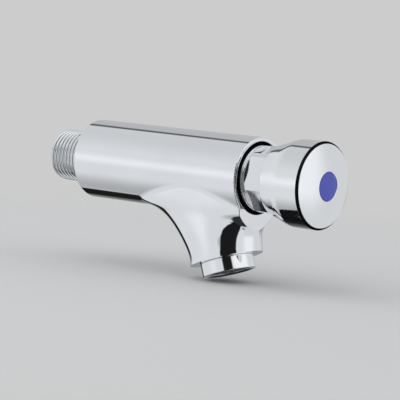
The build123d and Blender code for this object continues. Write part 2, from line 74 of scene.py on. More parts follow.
Colour = Tuple[float, float, float]
Point = Tuple[float, float]
Span = Tuple[float, float]
Spot = Tuple[float, float, float]
Socket = bpy.types.NodeSocket

WHITE: Colour = (1.0, 1.0, 1.0)

# Octaves of the noise patterns, and how much the fine ones count.
FEW_OCTAVES = 2.0
SOME_OCTAVES = 3.0
MANY_OCTAVES = 4.0
NOISE_ROUGHNESS = 0.55

# A corner flatter than this stays as it is, and a rounded one takes at most this share of the runs beside it.
FLAT_CORNER = math.radians(88)
BREAK_SHARE = 0.45
SMALL_BREAK = 0.12
ARC_STEPS = 5
POLE_RADIUS = 1e-6

# A thread's groove: the part of its rise that its flanks take, and the share of a pitch in which it runs out.
THREAD_FLANKS: Span = (0.14, 0.86)
THREAD_RUN_OUT = 0.6


class Body(Enum):
    """The bodies of the frame that new pieces ride on."""

    TAP = "tap"
    BUTTON = "button"


class Slot(Enum):
    """The names of the record's material slots, which settle() is given for each new piece."""

    TRIM_CHROME = "trim_chrome"
    BUTTON_CHROME = "button_chrome"
    AERATOR_CHROME = "aerator_chrome"
    PLATED_THREAD = "plated_thread"
    SPRING_STEEL = "spring_steel"
    GREY_PLASTIC = "grey_plastic"
    BLUE_PLASTIC = "blue_plastic"


class Combining(Enum):
    """The ways to combine two closed meshes."""

    COMMON = "INTERSECT"
    BOTH = "UNION"
    WITHOUT = "DIFFERENCE"


class NodeSheet:
    """A node tree that is filled by short calls."""

    def __init__(self, tree: bpy.types.NodeTree) -> None:
        """Start on an empty tree of a material, a world or a geometry."""
        self.tree = tree
        tree.nodes.clear()

    def add(self, kind: str, feeds: Optional[Dict[Union[str, int], object]] = None, **settings: object
            ) -> bpy.types.Node:
        """Add a node, set its properties and feed its inputs.

        Args:
            kind: The node's type name.
            feeds: Names or numbers of inputs with what feeds them.
            settings: Property names with their values.

        Returns:
            The new node.
        """
        node = self.tree.nodes.new(kind)
        for name, value in settings.items():
            setattr(node, name, value)
        for name, value in (feeds or {}).items():
            self.feed(node.inputs[name], value)
        return node

    def feed(self, socket: Socket, value: object) -> None:
        """Link an output socket, or set a plain value.

        Args:
            socket: The input to feed.
            value: An output socket, or the value itself.
        """
        if isinstance(value, Socket):
            self.tree.links.new(value, socket)
        else:
            socket.default_value = value

    def math(self, operation: str, *values: object) -> Socket:
        """Add a Math node.

        Args:
            operation: Its operation.
            values: Its inputs, as sockets or numbers.

        Returns:
            The result socket.
        """
        node = self.add("ShaderNodeMath", operation=operation)
        for socket, value in zip(node.inputs, values):
            self.feed(socket, value)
        return node.outputs[0]

    def ramp(self, value: object, low: object, high: object, start: float = 0.0, end: float = 1.0) -> Socket:
        """Map a value smoothly from one range to another.

        Args:
            value: The value to map.
            low: Where the range starts.
            high: Where the range ends.
            start: The result at the start.
            end: The result at the end.

        Returns:
            The mapped value's socket.
        """
        node = self.add("ShaderNodeMapRange", {
            "Value": value, "From Min": low, "From Max": high, "To Min": start, "To Max": end},
            interpolation_type="SMOOTHSTEP")
        return node.outputs["Result"]

    def noise(self, vector: object, scale: float, octaves: float) -> Socket:
        """Add a noise pattern.

        Args:
            vector: The coordinates it reads.
            scale: Its scale, per metre.
            octaves: Its number of octaves.

        Returns:
            The pattern's value socket.
        """
        node = self.add("ShaderNodeTexNoise", {
            "Vector": vector, "Scale": scale, "Detail": octaves, "Roughness": NOISE_ROUGHNESS})
        return node.outputs["Fac"]

    def blend(self, factor: object, first: object, second: object) -> Socket:
        """Mix two colours.

        Args:
            factor: The share of the second.
            first: The first colour.
            second: The second colour.

        Returns:
            The mixed colour's socket.
        """
        node = self.add("ShaderNodeMix", {0: factor, 6: first, 7: second}, data_type="RGBA")
        return node.outputs[2]

    def split(self, vector: object) -> Tuple[Socket, ...]:
        """Split a vector.

        Args:
            vector: The vector.

        Returns:
            The sockets of its X, Y and Z.
        """
        node = self.add("ShaderNodeSeparateXYZ", {0: vector})
        return tuple(node.outputs)

    def vector(self, **parts: object) -> Socket:
        """Join parts into a vector.

        Args:
            parts: Those of X, Y and Z that aren't zero.

        Returns:
            The vector's socket.
        """
        node = self.add("ShaderNodeCombineXYZ", parts)
        return node.outputs["Vector"]

    def bump(self, height: Socket, distance: float, normal: Optional[Socket] = None) -> Socket:
        """Add a Bump node.

        Args:
            height: The pattern that raises the surface.
            distance: The greatest height, in metres.
            normal: The bump that lies under this one.

        Returns:
            The normal's socket.
        """
        node = self.add("ShaderNodeBump", {"Height": height, "Distance": distance})
        if normal is not None:
            self.feed(node.inputs["Normal"], normal)
        return node.outputs["Normal"]

    def show(self, surface: Socket, kind: str = "ShaderNodeOutputMaterial") -> None:
        """Lead a surface into the tree's output node."""
        self.add(kind, {"Surface": surface})


def rgba(colour: Colour) -> Tuple[float, float, float, float]:
    """Give a colour its alpha."""
    return (*colour, 1.0)


def shaded(colour: Colour, share: float) -> Colour:
    """Darken a colour to a share of itself."""
    return tuple(part * share for part in colour)


def new_material(name: str) -> Tuple[bpy.types.Material, NodeSheet]:
    """Start a material.

    Args:
        name: The material's name.

    Returns:
        The material and its empty node tree.
    """
    made = bpy.data.materials.new(name)
    made.use_nodes = True
    return made, NodeSheet(made.node_tree)


@dataclass(frozen=True)
class PaintedShade:
    """A zone near the axis, as in the mouth's gap, a thread's roots or the button's seam, where the metal is
    dull and painted shade darkens its colour and reflection.
    """

    start: float
    end: float
    radius: float
    fade: float = 0.15
    strength: float = 1.0
    # Painted shade: its colour, the rise in roughness, and the share of reflection left inside the zone.
    colour: Colour = (0.012, 0.012, 0.014)
    dulling: float = 0.5
    reflection_left: float = 0.1

    def mask(self, sheet: NodeSheet, place: Socket) -> Socket:
        """Work out how far a spot lies in the zone.

        Args:
            sheet: The material's node tree.
            place: The spot's coordinates.

        Returns:
            A socket that runs from zero outside to one inside.
        """
        along, across, up = sheet.split(place)
        away = sheet.math("SQRT", sheet.math("MULTIPLY_ADD", across, across, sheet.math("MULTIPLY", up, up)))
        fade = self.fade * MM
        after = sheet.ramp(along, self.start * MM - fade, self.start * MM + fade)
        before = sheet.ramp(along, self.end * MM - fade, self.end * MM + fade, 1.0, 0.0)
        within = sheet.ramp(away, self.radius * MM - fade, self.radius * MM + fade, 1.0, 0.0)
        reach = sheet.math("MULTIPLY", within, sheet.math("MULTIPLY", after, before))
        return sheet.math("MULTIPLY", reach, self.strength)


@dataclass(frozen=True)
class MetalFinish:
    """A metal surface with buffing lines, a light haze and slightly uneven tone, and painted shade where a
    zone is given.
    """

    name: str
    colour: Colour
    roughness: float = 0.045
    haze: float = 0.035
    tone: float = 0.97
    line_stretch: float = 14.0
    line_scale: float = 1600.0
    line_height: float = 0.0000008
    grit_scale: float = 5200.0
    grit_height: float = 0.0000003
    cloud_scale: float = 38.0
    smear_scale: float = 210.0
    tone_range: Span = (0.32, 0.68)
    smear_range: Span = (0.38, 0.72)
    haze_range: Span = (0.4, 0.62)
    painted_shade: Optional[PaintedShade] = None

    def material(self) -> bpy.types.Material:
        """Build the material.

        Returns:
            The finished material.
        """
        made, sheet = new_material(self.name)
        place = sheet.add("ShaderNodeTexCoord").outputs["Object"]
        lines = sheet.add("ShaderNodeMapping", {
            "Vector": place, "Scale": (1.0 / self.line_stretch, 1.0, 1.0)})
        buffing = sheet.noise(lines.outputs["Vector"], self.line_scale, SOME_OCTAVES)
        grit = sheet.noise(place, self.grit_scale, FEW_OCTAVES)
        cloud = sheet.noise(place, self.cloud_scale, MANY_OCTAVES)
        smear = sheet.noise(place, self.smear_scale, SOME_OCTAVES)
        shader = sheet.add("ShaderNodeBsdfPrincipled", {"Metallic": 1.0})
        tint = sheet.blend(sheet.ramp(cloud, *self.tone_range), rgba(shaded(self.colour, self.tone)),
                           rgba(self.colour))
        wipe = sheet.math("MULTIPLY", sheet.ramp(smear, *self.smear_range),
                          sheet.ramp(cloud, *self.haze_range))
        gloss = sheet.math("MULTIPLY_ADD", wipe, self.haze, self.roughness)
        # Painted shade: inside the zone the colour darkens towards black, the reflection dims and the
        # roughness rises.
        if self.painted_shade is not None:
            shade_share = self.painted_shade.mask(sheet, place)
            tint = sheet.blend(shade_share, tint, rgba(self.painted_shade.colour))
            gloss = sheet.math("MULTIPLY_ADD", shade_share, self.painted_shade.dulling, gloss)
            reflection_left = sheet.blend(shade_share, rgba(WHITE), rgba(shaded(WHITE, self.painted_shade.reflection_left)))
            sheet.feed(shader.inputs["Specular Tint"], reflection_left)
        sheet.feed(shader.inputs["Base Color"], tint)
        sheet.feed(shader.inputs["Roughness"], gloss)
        lined = sheet.bump(buffing, self.line_height)
        sheet.feed(shader.inputs["Normal"], sheet.bump(grit, self.grit_height, lined))
        sheet.show(shader.outputs["BSDF"])
        return made


@dataclass(frozen=True)
class MouldedFinish:
    """A moulded plastic or rubber surface with a fine mould texture and handling marks."""

    name: str
    colour: Colour
    roughness: float = 0.4
    spread: float = 0.12
    tone: float = 0.9
    grain_scale: float = 3400.0
    grain_height: float = 0.000012
    coat: float = 0.0
    cloud_scale: float = 90.0
    tone_range: Span = (0.3, 0.7)
    gloss_range: Span = (0.35, 0.65)

    def material(self) -> bpy.types.Material:
        """Build the material.

        Returns:
            The finished material.
        """
        made, sheet = new_material(self.name)
        place = sheet.add("ShaderNodeTexCoord").outputs["Object"]
        grain = sheet.noise(place, self.grain_scale, FEW_OCTAVES)
        cloud = sheet.noise(place, self.cloud_scale, MANY_OCTAVES)
        tint = sheet.blend(sheet.ramp(cloud, *self.tone_range), rgba(shaded(self.colour, self.tone)),
                           rgba(self.colour))
        gloss = sheet.math("MULTIPLY_ADD", sheet.ramp(cloud, *self.gloss_range), self.spread, self.roughness)
        shader = sheet.add("ShaderNodeBsdfPrincipled", {
            "Base Color": tint, "Roughness": gloss, "Coat Weight": self.coat,
            "Normal": sheet.bump(grain, self.grain_height)})
        sheet.show(shader.outputs["BSDF"])
        return made


Finish = Union[MetalFinish, MouldedFinish]

# Painted shade in the body's mouth gap.
BODY_CHROME = MetalFinish("body_chrome_plate", (0.86, 0.87, 0.89),
                          painted_shade=PaintedShade(start=60.0, end=84.35, radius=14.4))
# Painted shade on the seam between the button's skirt and its face.
BUTTON_CHROME = MetalFinish("button_chrome_plate", (0.87, 0.88, 0.895),
                            painted_shade=PaintedShade(start=114.8, end=115.72, radius=17.6, fade=0.06))
# Painted shade on the collar inside the mouth.
TRIM_CHROME = MetalFinish("bonnet_chrome_plate", (0.84, 0.85, 0.87), roughness=0.08, haze=0.05,
                          painted_shade=PaintedShade(start=60.0, end=85.0, radius=13.2))
AERATOR_CHROME = MetalFinish("aerator_chrome_plate", (0.86, 0.87, 0.885), roughness=0.05)
# Painted shade in the thread's roots, at six tenths strength.
THREAD_PLATE = MetalFinish("thread_plate", (0.86, 0.875, 0.88), roughness=0.06, haze=0.04, tone=0.94,
                           painted_shade=PaintedShade(start=-19.5, end=0.1, radius=9.75, fade=0.35, strength=0.6))
BRASS = MetalFinish("turned_brass", (0.78, 0.58, 0.3), roughness=0.24, haze=0.12, tone=0.85,
                    line_height=0.000004)
STEM_STEEL = MetalFinish("ground_steel", (0.62, 0.62, 0.63), roughness=0.2, haze=0.1, tone=0.9,
                         line_height=0.000003)
FILTER_STEEL = MetalFinish("strainer_steel", (0.6, 0.61, 0.62), roughness=0.28, haze=0.1, tone=0.86)
SPRING_STEEL = MetalFinish("spring_wire_steel", (0.5, 0.5, 0.52), roughness=0.26, haze=0.12, tone=0.85)
RUBBER = MouldedFinish("black_seal_rubber", (0.018, 0.018, 0.02), roughness=0.5, spread=0.2,
                       grain_height=0.00002)
FIBRE = MouldedFinish("pressed_fibre", (0.33, 0.16, 0.1), roughness=0.75, spread=0.15, tone=0.75,
                      grain_scale=2200.0, grain_height=0.00004)
WHITE_PLASTIC = MouldedFinish("white_moulding", (0.74, 0.74, 0.71), roughness=0.38)
GREY_PLASTIC = MouldedFinish("grey_moulding", (0.3, 0.31, 0.32), roughness=0.42)
BLUE_PLASTIC = MouldedFinish("blue_moulding", (0.05, 0.07, 0.55), roughness=0.3, spread=0.08, tone=0.93,
                             grain_height=0.000004, coat=0.35)


class Outline:
    """A half section of a turned piece, as corners along and away from the axis."""

    def __init__(self, *corners: Sequence[float], closed: bool = True) -> None:
        """Start an outline.

        Args:
            corners: What corner() takes, for each of the first corners.
            closed: Whether the last corner joins the first, as on a ring.
        """
        self.closed = closed
        self.corners: List[Tuple[Vector, float, float]] = []
        self.path(*corners)

    def corner(self, along: float, radius: float, rounding: float = SMALL_BREAK, step: float = 0.0) -> None:
        """Add a corner.

        Args:
            along: Its place along the axis.
            radius: Its distance from the axis.
            rounding: Its arc's radius, zero on a curve.
            step: The longest step on the run before it, zero for one run.
        """
        self.corners.append((Vector((along, radius)), rounding, step))

    def path(self, *corners: Sequence[float]) -> None:
        """Add corners in order, each given as what corner() takes."""
        for values in corners:
            self.corner(*values)

    def curve(self, points: Sequence[Point]) -> None:
        """Add points of a smooth curve, along the axis and away from it."""
        self.path(*((along, radius, 0.0) for along, radius in points))

    def rounded(self) -> List[Vector]:
        """Work out the points with their corners rounded.

        Returns:
            The points in order.
        """
        count = len(self.corners)
        points: List[Vector] = []
        for index, (here, rounding, step) in enumerate(self.corners):
            inner = self.closed or 0 < index < count - 1
            before = self.corners[index - 1][0]
            after = self.corners[(index + 1) % count][0]
            made = [here]
            if inner and rounding > 0:
                made = self.broken(before, here, after, rounding)
            if step > 0 and points:
                run = made[0] - points[-1]
                parts = max(1, math.ceil(run.length / step))
                last = points[-1]
                points += [last + run * (part / parts) for part in range(1, parts)]
            points += made
        return points

    def broken(self, before: Vector, here: Vector, after: Vector, rounding: float) -> List[Vector]:
        """Break one corner with an arc.

        Args:
            before: The corner before it.
            here: The corner.
            after: The corner after it.
            rounding: The arc's radius.

        Returns:
            The arc's points.
        """
        back = (before - here).normalized()
        ahead = (after - here).normalized()
        half = back.angle(ahead) / 2
        if half > FLAT_CORNER:
            return [here]
        reach = min(rounding / math.tan(half), BREAK_SHARE * (before - here).length,
                    BREAK_SHARE * (after - here).length)
        radius = reach * math.tan(half)
        centre = here + (back + ahead).normalized() * (radius / math.sin(half))
        first = here + back * reach - centre
        sweep = first.angle_signed(here + ahead * reach - centre)
        points = []
        for part in range(ARC_STEPS + 1):
            turn = -sweep * part / ARC_STEPS
            points.append(centre + Vector((first.x * math.cos(turn) - first.y * math.sin(turn),
                                           first.x * math.sin(turn) + first.y * math.cos(turn))))
        return points

    def facing(self, points: Sequence[Vector]) -> List[Vector]:
        """Work out which way the surface faces at each point.

        Args:
            points: The outline's points.

        Returns:
            A unit direction for each point, along and away from the axis.
        """
        count = len(points)
        area = sum(points[i - 1].x * points[i].y - points[i].x * points[i - 1].y for i in range(count))
        side = 1.0 if area > 0 else -1.0
        result = []
        for index, here in enumerate(points):
            way = Vector((0.0, 0.0))
            if self.closed or index > 0:
                way += here - points[index - 1]
            if self.closed or index < count - 1:
                way += points[(index + 1) % count] - here
            way.normalize()
            result.append(Vector((way.y, -way.x)) * side)
        return result


def piece(name: str, mesh: bpy.types.Mesh) -> bpy.types.Object:
    """Put a mesh into the scene as an object at the origin.

    Args:
        name: The object's name.
        mesh: Its mesh.

    Returns:
        The new object.
    """
    mesh.name = name
    made = bpy.data.objects.new(name, mesh)
    bpy.context.scene.collection.objects.link(made)
    return made


def plain_mesh(work: bmesh.types.BMesh, name: str) -> bpy.types.Mesh:
    """Turn finished mesh work into a mesh.

    Args:
        work: The mesh work, which is freed.
        name: The mesh's name.

    Returns:
        The mesh.
    """
    mesh = bpy.data.meshes.new(name)
    work.to_mesh(mesh)
    work.free()
    return mesh


def flat_mesh(name: str, corners: Sequence[Vector]) -> bpy.types.Mesh:
    """Make one flat face.

    Args:
        name: The mesh's name.
        corners: The face's corners in order, in metres.

    Returns:
        The mesh.
    """
    work = bmesh.new()
    work.faces.new([work.verts.new(corner) for corner in corners])
    return plain_mesh(work, name)


def turned_mesh(outline: Outline, segments: int, place: Matrix, keep_facing: bool = True) -> bpy.types.Mesh:
    """Turn an outline about its axis into a closed mesh.

    Args:
        outline: The half section, in millimetres.
        segments: Number of steps round the axis.
        place: Where the axis lies, in metres.
        keep_facing: Whether the mesh keeps the outline's own facing directions.

    Returns:
        The mesh, in metres.
    """
    points = outline.rounded()
    facing = outline.facing(points)
    work = bmesh.new()
    rows: List[List[bmesh.types.BMVert]] = []
    directions: List[Vector] = []
    turn_only = place.to_3x3()
    for here, way in zip(points, facing):
        at_pole = here.y < POLE_RADIUS
        row = []
        for step in range(1 if at_pole else segments):
            angle = FULL_TURN * step / segments
            spot = Vector((here.x, here.y * math.cos(angle), here.y * math.sin(angle))) * MM
            row.append(work.verts.new(place @ spot))
            out = Vector((1 if way.x > 0 else -1, 0, 0)) if at_pole else Vector(
                (way.x, way.y * math.cos(angle), way.y * math.sin(angle)))
            directions.append(turn_only @ out)
        rows.append(row)
    pairs = list(zip(rows, rows[1:]))
    if outline.closed:
        pairs.append((rows[-1], rows[0]))
    for first, second in pairs:
        for step in range(segments):
            ahead = (step + 1) % segments
            loop = [first[step % len(first)], second[step % len(second)], second[ahead % len(second)],
                    first[ahead % len(first)]]
            corners = [vert for index, vert in enumerate(loop) if vert is not loop[index - 1]]
            if len(corners) > 2:
                work.faces.new(corners)
    bmesh.ops.recalc_face_normals(work, faces=work.faces[:])
    mesh = plain_mesh(work, "turned")
    mesh.shade_smooth()
    if keep_facing:
        mesh.normals_split_custom_set_from_vertices(directions)
    return mesh


def joined(meshes: Sequence[bpy.types.Mesh]) -> bpy.types.Mesh:
    """Join closed meshes into one.

    Args:
        meshes: The meshes.

    Returns:
        One mesh with all their faces.
    """
    parts = [piece("part", mesh) for mesh in meshes]
    with bpy.context.temp_override(active_object=parts[0], selected_editable_objects=parts):
        bpy.ops.object.join()
    mesh = parts[0].data
    bpy.data.objects.remove(parts[0])
    return mesh


def evaluated_mesh(carrier: bpy.types.Object) -> bpy.types.Mesh:
    """Carry out an object's modifiers and remove the object.

    Args:
        carrier: The object.

    Returns:
        A plain mesh.
    """
    graph = bpy.context.evaluated_depsgraph_get()
    graph.update()
    result = bpy.data.meshes.new_from_object(carrier.evaluated_get(graph))
    carrier.modifiers.clear()
    bpy.data.objects.remove(carrier)
    return result


def combined(first: bpy.types.Mesh, second: bpy.types.Mesh, way: Combining) -> bpy.types.Mesh:
    """Combine two closed meshes.

    Args:
        first: The first mesh.
        second: The second mesh.
        way: How they are combined.

    Returns:
        The combined mesh.
    """
    base = piece("base", first)
    tool = piece("tool", second)
    modifier = base.modifiers.new("combine", "BOOLEAN")
    modifier.object = tool
    modifier.operation = way.value
    modifier.solver = "EXACT"
    result = evaluated_mesh(base)
    bpy.data.objects.remove(tool)
    return result


class GeometryRecipe:
    """A Geometry Nodes tree with named sizes that makes one plain mesh."""

    def __init__(self, name: str, sizes: Dict[str, float]) -> None:
        """Start the tree.

        Args:
            name: The tree's name.
            sizes: Named inputs with their values, lengths in metres.
        """
        self.tree = bpy.data.node_groups.new(name, "GeometryNodeTree")
        self.sizes = sizes
        face = self.tree.interface
        face.new_socket("Geometry", in_out="INPUT", socket_type="NodeSocketGeometry")
        face.new_socket("Geometry", in_out="OUTPUT", socket_type="NodeSocketGeometry")
        for size in sizes:
            face.new_socket(size, in_out="INPUT", socket_type="NodeSocketFloat")
        face.new_socket("Finish", in_out="INPUT", socket_type="NodeSocketMaterial")
        self.sheet = NodeSheet(self.tree)
        self.entry = self.sheet.add("NodeGroupInput")

    def size(self, name: str) -> Socket:
        """Give the socket of a named size."""
        return self.entry.outputs[name]

    def wire(self, path: Socket, sides: int) -> Socket:
        """Give curves the thickness of the size Wire Radius.

        Args:
            path: The curves.
            sides: Number of sides round the wire.

        Returns:
            The wire's mesh.
        """
        section = self.sheet.add("GeometryNodeCurvePrimitiveCircle", {
            "Resolution": sides, "Radius": self.size("Wire Radius")})
        drawn = self.sheet.add("GeometryNodeCurveToMesh", {
            "Curve": path, "Profile Curve": section.outputs["Curve"], "Fill Caps": True})
        return drawn.outputs["Mesh"]

    def close(self, geometry: Socket) -> None:
        """End the tree with Realize Instances and Set Material.

        Args:
            geometry: The geometry that the tree has made.
        """
        real = self.sheet.add("GeometryNodeRealizeInstances", {"Geometry": geometry})
        dressed = self.sheet.add("GeometryNodeSetMaterial", {
            "Geometry": real.outputs["Geometry"], "Material": self.size("Finish")})
        self.sheet.add("NodeGroupOutput", {"Geometry": dressed.outputs["Geometry"]})

    def bake(self, mesh: bpy.types.Mesh, finish: bpy.types.Material) -> bpy.types.Mesh:
        """Run the tree on a mesh.

        Args:
            mesh: The mesh that goes in.
            finish: The material for what comes out.

        Returns:
            A plain mesh.
        """
        carrier = piece("carrier", mesh)
        modifier = carrier.modifiers.new("recipe", "NODES")
        modifier.node_group = self.tree
        for item in self.tree.interface.items_tree:
            if item.in_out == "INPUT" and item.name in self.sizes:
                modifier[item.identifier] = self.sizes[item.name]
            if item.in_out == "INPUT" and item.name == "Finish":
                modifier[item.identifier] = finish
        result = evaluated_mesh(carrier)
        result.shade_smooth()
        return result


def thread_recipe(start: float, end: float, pitch: float, depth: float, least_radius: float
                  ) -> GeometryRecipe:
    """Make the tree that cuts a screw thread along X into a turned mesh.

    Args:
        start: Where the thread starts.
        end: Where it ends.
        pitch: Distance from crest to crest.
        depth: Depth from crest to root.
        least_radius: Only points farther out than this are cut.

    Returns:
        The recipe, all lengths given in millimetres.
    """
    recipe = GeometryRecipe("screw_thread", {
        "Start": start * MM, "End": end * MM, "Pitch": pitch * MM, "Depth": depth * MM,
        "Least Radius": least_radius * MM, "Run Out": THREAD_RUN_OUT * pitch * MM})
    sheet = recipe.sheet
    along, across, up = sheet.split(sheet.add("GeometryNodeInputPosition").outputs["Position"])
    angle = sheet.math("ARCTAN2", up, across)
    radius = sheet.math("SQRT", sheet.math("ADD", sheet.math("MULTIPLY", across, across),
                                           sheet.math("MULTIPLY", up, up)))
    turns = sheet.math("ADD", sheet.math("DIVIDE", along, recipe.size("Pitch")),
                       sheet.math("DIVIDE", angle, FULL_TURN))
    phase = sheet.math("FRACT", turns)
    rise = sheet.math("ABSOLUTE", sheet.math("MULTIPLY_ADD", phase, 2.0, -1.0))
    groove = sheet.ramp(rise, *THREAD_FLANKS)
    into = sheet.ramp(along, recipe.size("Start"), sheet.math("ADD", recipe.size("Start"),
                                                              recipe.size("Run Out")))
    out_of = sheet.ramp(along, sheet.math("SUBTRACT", recipe.size("End"), recipe.size("Run Out")),
                        recipe.size("End"), 1.0, 0.0)
    cut = sheet.math("MULTIPLY", sheet.math("MULTIPLY", groove, recipe.size("Depth")),
                     sheet.math("MULTIPLY", into, out_of))
    share = sheet.math("DIVIDE", sheet.math("MULTIPLY", cut, -1.0), radius)
    move = sheet.add("GeometryNodeSetPosition", {
        "Geometry": recipe.entry.outputs["Geometry"],
        "Selection": sheet.math("GREATER_THAN", radius, recipe.size("Least Radius")),
        "Offset": sheet.vector(Y=sheet.math("MULTIPLY", across, share), Z=sheet.math("MULTIPLY", up, share))})
    recipe.close(move.outputs["Geometry"])
    return recipe


TAP_AXIS = Matrix.Identity(4)


@dataclass
class Jet:
    """The jet's axis: a tilted line out of the middle of the outlet's rim."""

    along: float = 70.85
    drop: float = 33.6
    tilt: float = 20.0

    def place(self) -> Matrix:
        """Give the place of the jet's axis.

        Returns:
            A matrix whose X runs out of the rim, in metres.
        """
        lean = math.radians(self.tilt)
        out = Vector((math.sin(lean), 0, -math.cos(lean)))
        across = Vector((math.cos(lean), 0, math.sin(lean)))
        side = out.cross(across)
        turn = Matrix((out, across, side)).transposed().to_4x4()
        return Matrix.Translation(Vector((self.along, 0, -self.drop)) * MM) @ turn


def settle(made: bpy.types.Object, body: Body, slot: Slot, *nodes: str) -> bpy.types.Object:
    """Ride a finished piece on its body and hide the CAD nodes it takes the place of.

    Args:
        made: The finished piece.
        body: The body it moves with.
        slot: The material slot of the record that it takes its finish from; not used.
        nodes: The CAD nodes it stands for.

    Returns:
        The piece.
    """
    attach(made, body.value)
    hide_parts(*nodes)
    LOG.info("%s: %d faces, rides on %s", made.name, len(made.data.polygons), body.value)
    return made


def dress(nodes: Sequence[str], finish: Finish) -> None:
    """Give CAD nodes a finish in place of the plain one they came with.

    Args:
        nodes: The nodes' names.
        finish: The finish they get.
    """
    made = finish.material()
    for name in nodes:
        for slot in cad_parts[name].material_slots:
            slot.material = made
        LOG.info("%s: finished as %s", name, made.name)


@dataclass
class TapBody:
    """The cast body: the tube, the swept spout and the mouth."""

    finish: MetalFinish = BODY_CHROME

    def build(self) -> None:
        """Dress the body's own solid."""
        dress(("tap_body",), self.finish)


@dataclass
class InletNipple:
    """The male inlet thread with its plain tail and the bore."""

    thread_radius: float = 10.4775
    thread_length: float = 19.0
    pitch: float = 1.814
    depth: float = 1.162
    lead_in: float = 1.1
    steps_per_turn: int = 12
    root_gap: float = 0.01
    cut_margin: float = 0.3
    bore_break: float = 0.3
    end_break: float = 0.15
    fine_break: float = 0.1
    collar_radius: float = 11.2275
    collar_length: float = 1.5
    bore: float = 7.5
    tail_radius: float = 9.4
    tail_length: float = 9.0
    seat_radius: float = 8.3
    seat_start: float = 0.5
    segments: int = 144

    def build(self) -> None:
        """Make the threaded nipple."""
        end = -self.thread_length
        step = self.pitch / self.steps_per_turn
        outline = Outline(
            (end, self.bore, self.bore_break),
            (end, self.thread_radius - self.lead_in, self.end_break),
            (end + self.lead_in, self.thread_radius, self.fine_break, step),
            (-self.root_gap, self.thread_radius, 0.0, step),
            (0.0, self.thread_radius, 0.0),
            (0.0, self.collar_radius, self.fine_break),
            (self.collar_length, self.collar_radius),
            (self.collar_length, self.tail_radius),
            (self.tail_length, self.tail_radius),
            (self.tail_length, self.seat_radius),
            (self.seat_start, self.seat_radius),
            (self.seat_start, self.bore))
        blank = turned_mesh(outline, self.segments, TAP_AXIS, keep_facing=False)
        recipe = thread_recipe(end - self.pitch, 0.0, self.pitch, self.depth,
                               self.tail_radius - self.cut_margin)
        mesh = recipe.bake(blank, THREAD_PLATE.material())
        settle(piece("inlet_nipple_threaded", mesh), Body.TAP, Slot.PLATED_THREAD, "inlet_nipple")


